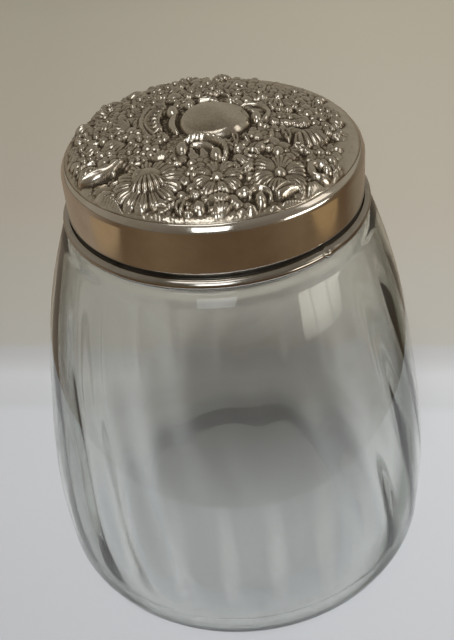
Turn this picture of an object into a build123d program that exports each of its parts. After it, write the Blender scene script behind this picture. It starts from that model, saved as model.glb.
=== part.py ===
from build123d import *
import math
import os

# A covered vanity powder jar: blown glass body, metal collar cemented on its neck,
# and a slip-on metal lid with a repousse top.
# Millimetres, +Z up, origin at the centre of the base, the axis of the jar is Z.

# ---- glass body ----
HEEL_RADIUS = 11.4           # rounding from the standing face into the side
BELLY_LOW_RADIUS = 55.3      # outside, where the heel ends
BELLY_RADIUS = 55.8          # widest outside radius
BELLY_HEIGHT = 27.0
WAIST_RADIUS = 52.4          # outside, half way up
WAIST_HEIGHT = 62.5
UPPER_RADIUS = 45.7          # outside, where the side turns in
UPPER_HEIGHT = 96.5
SHOULDER_RADIUS = 41.0       # outside, where it rounds over towards the neck
SHOULDER_HEIGHT = 110.8
SHOULDER_LEAN = 0.38         # inward slope of the side there
LEDGE_RADIUS = 38.0          # where the shoulder runs out into the flat ledge
LEDGE_HEIGHT = 114.4         # flat ledge that the collar stands over
WALL = 3.1
FLOOR = 6.0                  # thickness of the glass under the powder
INNER_HEEL_RADIUS = 9.0
KICK_RADIUS = 35.0           # shallow hollow under the base
KICK_DEPTH = 1.0
NECK_RADIUS = 36.1           # outside of the plain glass neck
NECK_BORE = 33.0
NECK_TOP = 127.0
NECK_FOOT_DROP = 1.2         # how far below the ledge the bore of the neck begins
NECK_LIP_ROUND = 1.2

# ---- collar ----
CEMENT = 0.4                 # plaster bed between glass and metal
SHEET = 0.5                  # collar sheet
COLLAR_BOTTOM = 114.7
COLLAR_LIP = 2.6             # top of the collar, turned in over the glass
BEAD_HEIGHT = 116.1
BEAD_SECTION = 1.4           # radius of the half-round bead wire
BEAD_OUTER_RADIUS = 39.6

# ---- lid ----
LID_RADIUS = 38.0
LID_SHEET = 0.6
LID_BOTTOM = 118.5
LID_SHOULDER = 128.6         # where the straight band starts to round in
LID_ROUND = 3.8              # radius of the shoulder, which the top plate carries on
SEAM_ANGLE = 46.0            # degrees round the shoulder to the seam with the top plate
SEAT_HEIGHT = 130.9          # flat ring inside the seam that carries the top plate
SEAT_OUTER_RADIUS = 36.7
SEAT_RADIUS = 33.0           # inner edge of the seat
LID_REST_GAP = 0.3           # between the liner and the collar when closed
LINER_SHEET = 0.4

# ---- top plate ----
PLATE_RADIUS = 36.6
PLATE_SHEET = 0.8
DOME_APEX = 137.6            # the dome is a spherical cap that runs smoothly into the shoulder
CARTOUCHE_CENTRE = (0.8, 1.0)
CARTOUCHE_RADIUS = 9.0
CARTOUCHE_RISE = 1.3
FRAME_RADIUS = 11.2
FRAME_WIRE = 1.1
DAISY_CENTRE = (0.3, -23.5)
DAISY_PETALS = 9
DAISY_RADIUS = 4.2
PETAL_RADIUS = 1.7
BERRY_ROWS = (               # ring radius, count, berry radius
    (16.0, 20, 1.9),
    (21.0, 24, 2.2),
    (26.0, 30, 2.2),
    (30.4, 42, 1.7),
    (33.3, 54, 1.0),
)
BERRY_SINK = 0.45            # share of a berry's radius that lies below the plate
BERRY_MARGIN = 0.8

collar_inner = NECK_RADIUS + CEMENT
collar_outer = collar_inner + SHEET
collar_lip_under = NECK_TOP + CEMENT
collar_top = collar_lip_under + SHEET
lid_inner = LID_RADIUS - LID_SHEET
liner_under = collar_top + LID_REST_GAP
round_hub = (LID_RADIUS - LID_ROUND, LID_SHOULDER)      # centre of the shoulder rounding
dome_lift = DOME_APEX - LID_SHOULDER - LID_ROUND
hub_depth = (round_hub[0] ** 2 - dome_lift ** 2) / (2 * dome_lift)
cap_ball = dome_lift + hub_depth + LID_ROUND            # radius of the spherical cap
cap_hub_height = DOME_APEX - cap_ball
dome_angle = math.degrees(math.atan2(hub_depth, round_hub[0]))


def on_shoulder(radius, degrees):
    """A (radius, height) point on a rounding about the shoulder's centre, measured from level."""
    turn = math.radians(degrees)
    return (round_hub[0] + radius * math.cos(turn), round_hub[1] + radius * math.sin(turn))


def turned(edges):
    """A solid of revolution about Z from a closed outline in the XZ plane."""
    return revolve(make_face(Wire(edges)), Axis.Z)


def on_plane(points):
    """Points given as (radius, height) on the XZ plane."""
    return [Vector(r, 0, z) for r, z in points]


def path(*points):
    """Straight edges through the given (radius, height) points."""
    corners = on_plane(points)
    return [Edge.make_line(a, b) for a, b in zip(corners, corners[1:])]


def round_corner(start, end, centre):
    """The short arc from start to end about centre, all (radius, height)."""
    radius = math.dist(start, centre)
    middle = Vector(start[0] + end[0], 0, start[1] + end[1]) / 2
    hub = Vector(centre[0], 0, centre[1])
    via = hub + (middle - hub).normalized() * radius
    return [Edge.make_three_point_arc(*on_plane([start]), via, *on_plane([end]))]


def side_curve(offset, bottom):
    """The side of the jar, moved in by the wall thickness, from the heel up to the shoulder."""
    points = [
        (BELLY_LOW_RADIUS - offset, bottom),
        (BELLY_RADIUS - offset, BELLY_HEIGHT),
        (WAIST_RADIUS - offset, WAIST_HEIGHT),
        (UPPER_RADIUS - offset, UPPER_HEIGHT),
        (SHOULDER_RADIUS - offset, SHOULDER_HEIGHT),
    ]
    rising = Vector(0, 0, 1)
    leaning_in = Vector(-SHOULDER_LEAN, 0, 1)
    return [Edge.make_spline(on_plane(points), tangents=[rising, leaning_in])]


def shoulder_curve():
    """The outside rounding over from the side into the ledge under the collar."""
    start = (SHOULDER_RADIUS, SHOULDER_HEIGHT)
    end = (LEDGE_RADIUS, LEDGE_HEIGHT)
    tangents = [Vector(-SHOULDER_LEAN, 0, 1), Vector(-1, 0, 0)]
    return [Edge.make_spline(on_plane([start, end]), tangents=tangents)]


def glass_jar():
    heel_start = (BELLY_LOW_RADIUS - HEEL_RADIUS, 0)
    heel_end = (BELLY_LOW_RADIUS, HEEL_RADIUS)
    heel_hub = (BELLY_LOW_RADIUS - HEEL_RADIUS, HEEL_RADIUS)
    inner_low = BELLY_LOW_RADIUS - WALL
    inner_heel_top = FLOOR + INNER_HEEL_RADIUS
    inner_heel_hub = (inner_low - INNER_HEEL_RADIUS, inner_heel_top)
    lip_hub = (NECK_BORE + NECK_LIP_ROUND, NECK_TOP - NECK_LIP_ROUND)
    outside = (
        path((KICK_RADIUS, 0), heel_start)
        + round_corner(heel_start, heel_end, heel_hub)
        + side_curve(0, HEEL_RADIUS)
        + shoulder_curve()
        + path((LEDGE_RADIUS, LEDGE_HEIGHT), (NECK_RADIUS, LEDGE_HEIGHT), (NECK_RADIUS, NECK_TOP),
               (lip_hub[0], NECK_TOP))
    )
    inside = (
        round_corner((lip_hub[0], NECK_TOP), (NECK_BORE, lip_hub[1]), lip_hub)
        + path((NECK_BORE, lip_hub[1]), (NECK_BORE, LEDGE_HEIGHT - NECK_FOOT_DROP),
               (SHOULDER_RADIUS - WALL, SHOULDER_HEIGHT))
        + side_curve(WALL, inner_heel_top)
        + round_corner((inner_low, inner_heel_top), (inner_heel_hub[0], FLOOR), inner_heel_hub)
        + path((inner_heel_hub[0], FLOOR), (0, FLOOR), (0, KICK_DEPTH))
    )
    kick_middle = (KICK_RADIUS / 2, KICK_DEPTH * 3 / 4)
    kick = [Edge.make_three_point_arc(*on_plane([(0, KICK_DEPTH), kick_middle, (KICK_RADIUS, 0)]))]
    return turned(outside + inside + kick)


def neck_cement():
    """The plaster bed: a sleeve round the neck, turned in over the glass lip."""
    lip_edge = NECK_BORE + NECK_LIP_ROUND
    return turned(path(
        (NECK_RADIUS, COLLAR_BOTTOM), (collar_inner, COLLAR_BOTTOM), (collar_inner, collar_lip_under),
        (lip_edge, collar_lip_under), (lip_edge, NECK_TOP), (NECK_RADIUS, NECK_TOP),
        (NECK_RADIUS, COLLAR_BOTTOM),
    ))


def collar_band():
    """The plain metal sleeve that the lid slips over, with its top edge turned in."""
    lip_edge = collar_outer - SHEET - COLLAR_LIP
    turn_hub = (collar_outer - SHEET, collar_top - SHEET)
    return turned(
        path((collar_inner, COLLAR_BOTTOM), (collar_outer, COLLAR_BOTTOM), (collar_outer, turn_hub[1]))
        + round_corner((collar_outer, turn_hub[1]), (turn_hub[0], collar_top), turn_hub)
        + path((turn_hub[0], collar_top), (lip_edge, collar_top), (lip_edge, collar_lip_under),
               (collar_inner, collar_lip_under), (collar_inner, COLLAR_BOTTOM))
    )


def collar_bead():
    """A half-round wire ring soldered round the foot of the collar."""
    hub = BEAD_OUTER_RADIUS - BEAD_SECTION
    half_flat = math.sqrt(BEAD_SECTION ** 2 - (hub - collar_outer) ** 2)
    upper, outer, lower = on_plane([
        (collar_outer, BEAD_HEIGHT + half_flat),
        (BEAD_OUTER_RADIUS, BEAD_HEIGHT),
        (collar_outer, BEAD_HEIGHT - half_flat),
    ])
    return turned([Edge.make_three_point_arc(lower, outer, upper), Edge.make_line(upper, lower)])


def lid_band():
    """The straight polished band of the lid, its rounded shoulder and the seat of the top plate."""
    seam = on_shoulder(LID_ROUND, SEAM_ANGLE)
    under_seat = SEAT_HEIGHT - LID_SHEET
    inner_round = LID_ROUND - LID_SHEET
    under_angle = math.degrees(math.asin((under_seat - LID_SHOULDER) / inner_round))
    under_corner = on_shoulder(inner_round, under_angle)
    return turned(
        path((lid_inner, LID_BOTTOM), (LID_RADIUS, LID_BOTTOM), (LID_RADIUS, LID_SHOULDER))
        + round_corner((LID_RADIUS, LID_SHOULDER), seam, round_hub)
        + path(seam, (SEAT_OUTER_RADIUS, SEAT_HEIGHT), (SEAT_RADIUS, SEAT_HEIGHT),
               (SEAT_RADIUS, under_seat), under_corner)
        + round_corner(under_corner, (lid_inner, LID_SHOULDER), round_hub)
        + path((lid_inner, LID_SHOULDER), (lid_inner, LID_BOTTOM))
    )


def lid_liner():
    """A plain flat disc that closes the back of the repousse plate."""
    disc = Cylinder(lid_inner, LINER_SHEET, align=(Align.CENTER, Align.CENTER, Align.MIN))
    return Pos(0, 0, liner_under) * disc


def dome(foot, inset):
    """The plate as a solid cushion, its outline moved in by inset: rim, rounding and spherical cap."""
    middle = PLATE_RADIUS / 2
    rounding = LID_ROUND - inset
    rim = PLATE_RADIUS - inset
    rim_angle = math.degrees(math.acos((rim - round_hub[0]) / rounding))
    rim_end = on_shoulder(rounding, rim_angle)
    cap_start = on_shoulder(rounding, dome_angle)
    cap_middle = (middle, cap_hub_height + math.sqrt((cap_ball - inset) ** 2 - middle ** 2))
    cap_end = (0, DOME_APEX - inset)
    cap = Edge.make_three_point_arc(*on_plane([cap_start, cap_middle, cap_end]))
    edge = round_corner(rim_end, cap_start, round_hub)
    return turned(path(cap_end, (0, foot), (rim, foot), rim_end) + edge + [cap])


def plate_height(x, y):
    """Height of the plain domed plate over a point."""
    return cap_hub_height + math.sqrt(cap_ball ** 2 - x ** 2 - y ** 2)


def ball_on_plate(x, y, radius):
    """A boss of the repousse work: a ball sunk into the plate."""
    return Pos(x, y, plate_height(x, y) - BERRY_SINK * radius) * Sphere(radius)


def cartouche():
    """The plain oval-headed field, a low cushion standing out of the plate."""
    x, y = CARTOUCHE_CENTRE
    ball = (CARTOUCHE_RADIUS ** 2 + CARTOUCHE_RISE ** 2) / (2 * CARTOUCHE_RISE)
    top = plate_height(x, y) + CARTOUCHE_RISE
    column = Cylinder(CARTOUCHE_RADIUS, 2 * (top - SEAT_HEIGHT))
    return Pos(x, y, top - ball) * Sphere(ball) & Pos(x, y, top) * column


def scroll_frame():
    """The raised rim round the plain field."""
    x, y = CARTOUCHE_CENTRE
    return Pos(x, y, plate_height(x, y + FRAME_RADIUS)) * Torus(FRAME_RADIUS, FRAME_WIRE)


def daisy():
    x, y = DAISY_CENTRE
    bosses = [ball_on_plate(x, y, PETAL_RADIUS)]
    for k in range(DAISY_PETALS):
        turn = 2 * math.pi * k / DAISY_PETALS
        bosses.append(ball_on_plate(x + DAISY_RADIUS * math.cos(turn),
                                    y + DAISY_RADIUS * math.sin(turn), PETAL_RADIUS))
    return bosses


def berries():
    """Rings of round blossoms, left out where the plain field or the daisy stands."""
    bosses = []
    for ring, count, size in BERRY_ROWS:
        for k in range(count):
            turn = 2 * math.pi * k / count
            x = ring * math.cos(turn)
            y = ring * math.sin(turn)
            field_room = FRAME_RADIUS + FRAME_WIRE + size + BERRY_MARGIN
            daisy_room = DAISY_RADIUS + PETAL_RADIUS + size
            off_field = math.dist((x, y), CARTOUCHE_CENTRE) > field_room
            off_daisy = math.dist((x, y), DAISY_CENTRE) > daisy_room
            if off_field and off_daisy:
                bosses.append(ball_on_plate(x, y, size))
    return bosses


def lid_top_plate():
    """The repousse plate: a thin dome with its raised work, hollow underneath."""
    body = dome(SEAT_HEIGHT, 0).fuse(cartouche(), scroll_frame(), *daisy(), *berries())
    hollow = dome(LID_SHOULDER, PLATE_SHEET)
    below = Cylinder(LID_RADIUS, LID_RADIUS, align=(Align.CENTER, Align.CENTER, Align.MAX))
    return body - hollow - Pos(0, 0, SEAT_HEIGHT) * below


parts = {
    "glass_jar": glass_jar(),
    "neck_cement": neck_cement(),
    "collar_band": collar_band(),
    "collar_bead": collar_bead(),
    "lid_band": lid_band(),
    "lid_top_plate": lid_top_plate(),
    "lid_liner": lid_liner(),
}

os.makedirs("parts", exist_ok=True)
for name, shape in parts.items():
    export_step(shape, f"parts/{name}.step")
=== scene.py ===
import math

import bmesh
import bpy
import numpy as np
from mathutils import Euler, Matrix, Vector, noise


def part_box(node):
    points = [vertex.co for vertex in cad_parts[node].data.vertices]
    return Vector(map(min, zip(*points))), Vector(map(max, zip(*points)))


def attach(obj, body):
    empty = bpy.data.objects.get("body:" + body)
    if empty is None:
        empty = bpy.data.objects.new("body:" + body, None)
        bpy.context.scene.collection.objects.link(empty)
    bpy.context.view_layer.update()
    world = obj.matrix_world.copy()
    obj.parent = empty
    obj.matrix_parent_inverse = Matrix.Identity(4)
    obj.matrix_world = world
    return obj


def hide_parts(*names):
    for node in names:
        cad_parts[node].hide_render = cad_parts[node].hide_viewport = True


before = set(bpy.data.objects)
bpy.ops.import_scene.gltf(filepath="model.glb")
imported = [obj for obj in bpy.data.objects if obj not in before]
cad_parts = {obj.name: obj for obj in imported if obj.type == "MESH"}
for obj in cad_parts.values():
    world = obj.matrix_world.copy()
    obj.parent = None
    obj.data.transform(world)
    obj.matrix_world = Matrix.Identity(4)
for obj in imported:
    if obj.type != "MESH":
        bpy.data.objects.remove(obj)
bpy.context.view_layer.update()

MM = 0.001
rng = np.random.default_rng(7)

jar_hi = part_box("glass_jar")[1]
band_lo, band_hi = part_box("lid_band")
bead_lo, bead_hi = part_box("collar_bead")

BELLY = jar_hi.x / MM
NECK_TOP = jar_hi.z / MM
LID_RADIUS = band_hi.x / MM
LID_BOTTOM = band_lo.z / MM
LID_TOP = band_hi.z / MM
PLATE_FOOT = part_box("lid_top_plate")[0].z / MM
BEAD_RADIUS = bead_hi.x / MM
BEAD_HEIGHT = (bead_lo.z + bead_hi.z) / 2 / MM
COLLAR_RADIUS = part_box("collar_band")[1].x / MM

LID_ROUND = 3.8                 # radius of the lid's rolled shoulder
SEAM_ANGLE = 46.0               # how far round the shoulder the plate is let in, degrees
HUB = LID_RADIUS - LID_ROUND
HUB_HEIGHT = LID_TOP - LID_ROUND * math.sin(math.radians(SEAM_ANGLE))
SEAM_RADIUS = HUB + LID_ROUND * math.cos(math.radians(SEAM_ANGLE))
RIBS = 24                       # soft vertical ribs in the blown glass


# ---------------------------------------------------------------- mesh helpers

def new_piece(name, vertices, faces, material, body, replaces=()):
    """A smooth-shaded mesh object from vertices in millimetres."""
    mesh = bpy.data.meshes.new(name)
    mesh.from_pydata((np.asarray(vertices) * MM).tolist(), [], faces)
    shape = bmesh.new()
    shape.from_mesh(mesh)
    bmesh.ops.recalc_face_normals(shape, faces=shape.faces)
    shape.to_mesh(mesh)
    shape.free()
    mesh.update()
    mesh.polygons.foreach_set("use_smooth", [True] * len(mesh.polygons))
    obj = bpy.data.objects.new(name, mesh)
    bpy.context.scene.collection.objects.link(obj)
    mesh.materials.append(material)
    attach(obj, body)
    if replaces:
        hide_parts(*replaces)
    return obj


def ring_faces(rings, segments, closed_profile):
    """Quads between successive rings of a turned shape."""
    faces = []
    last = rings if closed_profile else rings - 1
    for i in range(last):
        a = i * segments
        b = ((i + 1) % rings) * segments
        for j in range(segments):
            k = (j + 1) % segments
            faces.append((a + j, a + k, b + k, b + j))
    return faces


def turned(profile, segments, offset=None):
    """Vertices of a profile of (radius, height) turned about Z; offset(r, z, angle) gives dr, dz."""
    profile = np.asarray(profile, float)
    angle = np.linspace(0, 2 * math.pi, segments, endpoint=False)
    r = np.repeat(profile[:, 0:1], segments, 1)
    z = np.repeat(profile[:, 1:2], segments, 1)
    a = np.repeat(angle[None, :], len(profile), 0)
    if offset is not None:
        dr, dz = offset(r, z, a)
        r = r + dr
        z = z + dz
    return np.stack([r * np.cos(a), r * np.sin(a), z], -1).reshape(-1, 3)


def arc(centre, radius, start, end, steps):
    """Points of an arc in the (radius, height) plane, angles in degrees."""
    t = np.radians(np.linspace(start, end, steps))
    return [(centre[0] + radius * math.cos(k), centre[1] + radius * math.sin(k)) for k in t]


def hermite(p0, t0, p1, t1, steps):
    """A smooth curve from p0 to p1 with end directions t0 and t1."""
    s = np.linspace(0, 1, steps)[:, None]
    p0, t0, p1, t1 = (np.asarray(v, float) for v in (p0, t0, p1, t1))
    return list(map(tuple, (2 * s**3 - 3 * s**2 + 1) * p0 + (s**3 - 2 * s**2 + s) * t0
                    + (3 * s**2 - 2 * s**3) * p1 + (s**3 - s**2) * t1))


def smooth_through(points, steps):
    """A natural cubic through (radius, height) knots, evaluated evenly in height."""
    z = np.array([p[1] for p in points], float)
    r = np.array([p[0] for p in points], float)
    n = len(z)
    h = np.diff(z)
    a = np.zeros((n, n))
    b = np.zeros(n)
    a[0, 0] = a[-1, -1] = 1
    for i in range(1, n - 1):
        a[i, i - 1:i + 2] = h[i - 1], 2 * (h[i - 1] + h[i]), h[i]
        b[i] = 6 * ((r[i + 1] - r[i]) / h[i] - (r[i] - r[i - 1]) / h[i - 1])
    m = np.linalg.solve(a, b)
    zz = np.linspace(z[0], z[-1], steps)
    k = np.clip(np.searchsorted(z, zz) - 1, 0, n - 2)
    d = zz - z[k]
    rr = (r[k] + d * ((r[k + 1] - r[k]) / h[k] - h[k] * (2 * m[k] + m[k + 1]) / 6)
          + d**2 * m[k] / 2 + d**3 * (m[k + 1] - m[k]) / (6 * h[k]))
    return list(zip(rr.tolist(), zz.tolist()))


def soft_noise(points, scale, seed):
    """Blender's Perlin noise sampled at an array of points."""
    flat = np.asarray(points, float).reshape(-1, 3) / scale + seed
    values = [noise.noise(Vector(p)) for p in flat]
    return np.array(values).reshape(np.asarray(points).shape[:-1])


# ---------------------------------------------------------------- materials

def material(name):
    """A new node material, its tree and its shader."""
    mat = bpy.data.materials.new(name)
    mat.use_nodes = True
    tree = mat.node_tree
    return mat, tree, tree.nodes["Principled BSDF"]


def link(tree, a, b):
    """Joins an output socket to an input socket."""
    tree.links.new(a, b)


def coordinates(tree, kind="Object"):
    """The X, Y and Z of a point as three sockets."""
    coords = tree.nodes.new("ShaderNodeTexCoord")
    split = tree.nodes.new("ShaderNodeSeparateXYZ")
    link(tree, coords.outputs[kind], split.inputs[0])
    return split.outputs


def noise_node(tree, scale, detail=4.0, rough=0.55, stretch=None):
    """Noise in the piece's own coordinates, stretched along the axes if wanted."""
    coords = tree.nodes.new("ShaderNodeTexCoord")
    mapping = tree.nodes.new("ShaderNodeMapping")
    if stretch:
        mapping.inputs["Scale"].default_value = stretch
    tex = tree.nodes.new("ShaderNodeTexNoise")
    tex.inputs["Scale"].default_value = scale
    tex.inputs["Detail"].default_value = detail
    tex.inputs["Roughness"].default_value = rough
    link(tree, coords.outputs["Object"], mapping.inputs["Vector"])
    link(tree, mapping.outputs["Vector"], tex.inputs["Vector"])
    return tex.outputs["Fac"]


def ramp(tree, value, stops):
    """A colour ramp from (position, colour) stops."""
    node = tree.nodes.new("ShaderNodeValToRGB")
    elements = node.color_ramp.elements
    while len(elements) > 1:
        elements.remove(elements[-1])
    for i, (pos, colour) in enumerate(stops):
        el = elements[0] if i == 0 else elements.new(pos)
        el.position = pos
        el.color = (*colour, 1) if len(colour) == 3 else colour
    link(tree, value, node.inputs["Fac"])
    return node.outputs["Color"]


def grey(v):
    """A neutral colour."""
    return (v, v, v)


def remap(tree, value, low, high, out_low, out_high):
    """A value mapped from one range to another and held at its ends."""
    node = tree.nodes.new("ShaderNodeMapRange")
    node.inputs["From Min"].default_value = low
    node.inputs["From Max"].default_value = high
    node.inputs["To Min"].default_value = out_low
    node.inputs["To Max"].default_value = out_high
    link(tree, value, node.inputs["Value"])
    return node.outputs["Result"]


def maths(tree, op, a, b=0.0):
    """One arithmetic step on numbers or sockets; b is left out for one-sided steps."""
    node = tree.nodes.new("ShaderNodeMath")
    node.operation = op
    for socket, v in zip(node.inputs, (a, b)):
        if isinstance(v, (int, float)):
            socket.default_value = v
        else:
            link(tree, v, socket)
    return node.outputs["Value"]


def mix_colour(tree, factor, a, b, blend="MIX"):
    """Two colours mixed by a number or a socket."""
    node = tree.nodes.new("ShaderNodeMix")
    node.data_type = "RGBA"
    node.blend_type = blend
    for socket, v in ((node.inputs[0], factor), (node.inputs[6], a), (node.inputs[7], b)):
        if isinstance(v, (int, float)):
            socket.default_value = v
        elif isinstance(v, tuple):
            socket.default_value = (*v, 1)
        else:
            link(tree, v, socket)
    return node.outputs[2]


def bump(tree, height, strength, distance, normal=None):
    """Fine surface grain, on top of an earlier bump if one is given."""
    node = tree.nodes.new("ShaderNodeBump")
    node.inputs["Strength"].default_value = strength
    node.inputs["Distance"].default_value = distance
    link(tree, height, node.inputs["Height"])
    if normal is not None:
        link(tree, normal, node.inputs["Normal"])
    return node.outputs["Normal"]


def polished_silver(name, tarnish=0.25, rough=(0.10, 0.22), brightness=1.0):
    """Old polished silver: fine rubbing, cloudy patches and brown tarnish."""
    mat, tree, shader = material(name)
    shader.inputs["Metallic"].default_value = 1.0
    cloud = noise_node(tree, 70, 5, 0.6)
    fine = noise_node(tree, 1400, 3, 0.5)
    rub = noise_node(tree, 300, 4, 0.6, stretch=(1, 1, 14))
    tones = ((0.30, (0.74, 0.69, 0.61)), (0.55, (0.86, 0.82, 0.76)), (0.8, (0.90, 0.875, 0.83)))
    colour = ramp(tree, cloud, [(at, tuple(c * brightness for c in tone)) for at, tone in tones])
    dull = ramp(tree, noise_node(tree, 160, 6, 0.65), [(0.55, grey(0)), (0.80, grey(tarnish))])
    shade = mix_colour(tree, dull, colour, (0.42 * brightness, 0.33 * brightness, 0.24 * brightness))
    link(tree, shade, shader.inputs["Base Color"])
    link(tree, remap(tree, cloud, 0.3, 0.75, rough[0], rough[1]), shader.inputs["Roughness"])
    n1 = bump(tree, rub, 0.05, 0.00004)
    n2 = bump(tree, fine, 0.04, 0.00003, n1)
    link(tree, n2, shader.inputs["Normal"])
    return mat


def oxidised_silver():
    """Repousse silver: bright where it is rubbed, brown-black oxide in the hollows, and a painted dark
    reflection on the plain field.
    """
    mat, tree, shader = material("repousse_silver")
    shader.inputs["Metallic"].default_value = 1.0
    # the hollow attribute holds the oxide's depth, and on the plain field a painted dark reflection
    hollow = tree.nodes.new("ShaderNodeAttribute")
    hollow.attribute_name = "hollow"
    cloud = noise_node(tree, 260, 5, 0.6)
    speck = noise_node(tree, 1500, 3, 0.6)
    amount = maths(tree, "ADD", hollow.outputs["Fac"], remap(tree, speck, 0.3, 0.7, -0.12, 0.12))
    tone = ramp(tree, amount, [
        (0.02, (0.84, 0.79, 0.71)),
        (0.28, (0.60, 0.54, 0.45)),
        (0.55, (0.27, 0.22, 0.165)),
        (0.90, (0.060, 0.046, 0.033)),
    ])
    worn = mix_colour(tree, remap(tree, cloud, 0.35, 0.7, 0.0, 0.35), tone, (0.50, 0.44, 0.35))
    link(tree, worn, shader.inputs["Base Color"])
    link(tree, remap(tree, amount, 0.1, 0.9, 0.17, 0.55), shader.inputs["Roughness"])
    n1 = bump(tree, speck, 0.12, 0.00006)
    link(tree, bump(tree, noise_node(tree, 500, 4, 0.6), 0.10, 0.00012, n1), shader.inputs["Normal"])
    return mat


def old_glass():
    """Grey-green blown glass with faint waves; painted shade darkens it where it is seen aslant, and
    painted light makes pale rib streaks low down.
    """
    mat, tree, shader = material("blown_glass")
    shader.inputs["IOR"].default_value = 1.5
    # painted shade: a band of facing darkens the glass near its outline, in patches, standing in for dark
    # surroundings seen through its edges
    slant = tree.nodes.new("ShaderNodeLayerWeight")
    slant.inputs["Blend"].default_value = 0.5
    inner_edge = remap(tree, slant.outputs["Facing"], 0.57, 0.67, 0, 1)
    outer_edge = remap(tree, slant.outputs["Facing"], 0.76, 0.86, 1, 0)
    patch = remap(tree, noise_node(tree, 17, 2, 0.5, stretch=(1, 1, 0.6)), 0.36, 0.60, 0.45, 1)
    painted_edge_shade = maths(tree, "MULTIPLY", maths(tree, "MULTIPLY", inner_edge, outer_edge), patch)
    link(tree, mix_colour(tree, painted_edge_shade, (1, 1, 1), (0.17, 0.185, 0.155)), shader.inputs["Base Color"])
    smear = noise_node(tree, 35, 5, 0.6, stretch=(1, 1, 0.35))
    link(tree, remap(tree, smear, 0.52, 0.75, 0.0, 0.035), shader.inputs["Roughness"])
    wave = noise_node(tree, 28, 1.5, 0.4, stretch=(1, 1, 0.25))
    link(tree, bump(tree, wave, 0.10, 0.0006), shader.inputs["Normal"])
    x, y, z = coordinates(tree)
    angle = maths(tree, "ARCTAN2", y, x)
    wander = maths(tree, "MULTIPLY", noise_node(tree, 22, 2, 0.5, stretch=(1, 1, 0.5)), 0.22)
    rib = maths(tree, "COSINE", maths(tree, "MULTIPLY", maths(tree, "ADD", angle, wander), RIBS))
    low = remap(tree, z, 0.012, 0.030, 0, 1)
    high = remap(tree, z, 0.034, 0.062, 1, 0)
    # painted light: pale streaks along the ribs low down, made by trading a little transmission for
    # diffuse white
    painted_rib_streak = maths(tree, "MULTIPLY", remap(tree, rib, 0.1, 1.0, 0, 1), maths(tree, "MULTIPLY", low, high))
    transmission_with_painted_light = maths(tree, "ADD", maths(tree, "MULTIPLY", painted_rib_streak, -0.11), 0.985)
    link(tree, transmission_with_painted_light, shader.inputs["Transmission Weight"])
    body = tree.nodes.new("ShaderNodeVolumeAbsorption")
    body.inputs["Color"].default_value = (0.40, 0.46, 0.36, 1)
    body.inputs["Density"].default_value = 52
    link(tree, body.outputs["Volume"], tree.nodes["Material Output"].inputs["Volume"])
    return mat


def plaster():
    """Grainy off-white plaster that beds the collar."""
    mat, tree, shader = material("old_plaster")
    grain = noise_node(tree, 900, 6, 0.7)
    colour = ramp(tree, grain, [(0.3, (0.52, 0.48, 0.40)), (0.7, (0.80, 0.77, 0.70))])
    link(tree, colour, shader.inputs["Base Color"])
    shader.inputs["Roughness"].default_value = 0.85
    link(tree, bump(tree, grain, 0.5, 0.0002), shader.inputs["Normal"])
    return mat


GLASS = old_glass()
SILVER_BAND = polished_silver("lid_silver", 0.22, (0.07, 0.16))
SILVER_COLLAR = polished_silver("collar_silver", 0.75, (0.10, 0.22), 0.66)
# a darker copy of the silver for the collar band, seen only in the gap under the lid: painted shade, with
# heavy tarnish
SILVER_GAP_SHADE = polished_silver("gap_shaded_silver", 1.0, (0.35, 0.5), 0.30)
REPOUSSE = oxidised_silver()
PLASTER = plaster()


# ---------------------------------------------------------------- glass jar

HEEL = 11.4                     # outer rounding at the foot
LOW = BELLY - 0.5               # radius just above that rounding
WALL = 3.1
FLOOR = 4.0
INNER_HEEL = 9.6
RIB_DEPTH = 0.34
NECK_RADIUS = 36.05
MOUTH_RADIUS = 33.0
LIP_ROUND = 1.2
SHOULDER = (41.0, 110.8)
LEDGE = (38.0, 114.4)           # where the collar sits
SIDE = [(LOW, HEEL), (BELLY, 27.0), (52.4, 62.5), (45.7, 96.5), SHOULDER]


def jar_profile():
    """The glass in section: outside and lip, inside down to the floor, and the kick below."""
    outside = arc((LOW - HEEL, HEEL), HEEL, -90, 0, 22)[:-1]
    outside += smooth_through(SIDE, 110)
    outside += hermite(SHOULDER, (-1.5, 3.9), LEDGE, (-3.4, 0), 14)[1:]
    outside += [(36.7, LEDGE[1])]
    outside += [(NECK_RADIUS, z) for z in (114.6, 121.0, NECK_TOP - 0.5)]
    lip = arc((34.55, NECK_TOP - LIP_ROUND), LIP_ROUND, 60, 150, 8)
    inside = [(MOUTH_RADIUS, z) for z in (NECK_TOP - 1.6, 123.0, 118.0)]
    inner_side = [(r - WALL, z) for r, z in SIDE]
    inner_side[0] = (LOW - WALL, FLOOR + INNER_HEEL)
    inner = smooth_through(inner_side, 110)[::-1]
    bend = hermite((MOUTH_RADIUS, 115.6), (0, -4.0), inner[0], (2.0, -4.6), 14)
    heel = arc((LOW - WALL - INNER_HEEL, FLOOR + INNER_HEEL), INNER_HEEL, 0, -90, 18)[1:]
    bottom = [(r, FLOOR + 0.5 * (1 - (r / 42) ** 2)) for r in np.linspace(40, 0.4, 14)]
    kick = [(r, 1.0 * (1 - (r / 35) ** 2)) for r in np.linspace(0.4, 35, 14)]
    return (outside + lip, inside + bend + inner[1:] + heel + bottom, kick + [(38.0, 0), (41.0, 0)])


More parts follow.
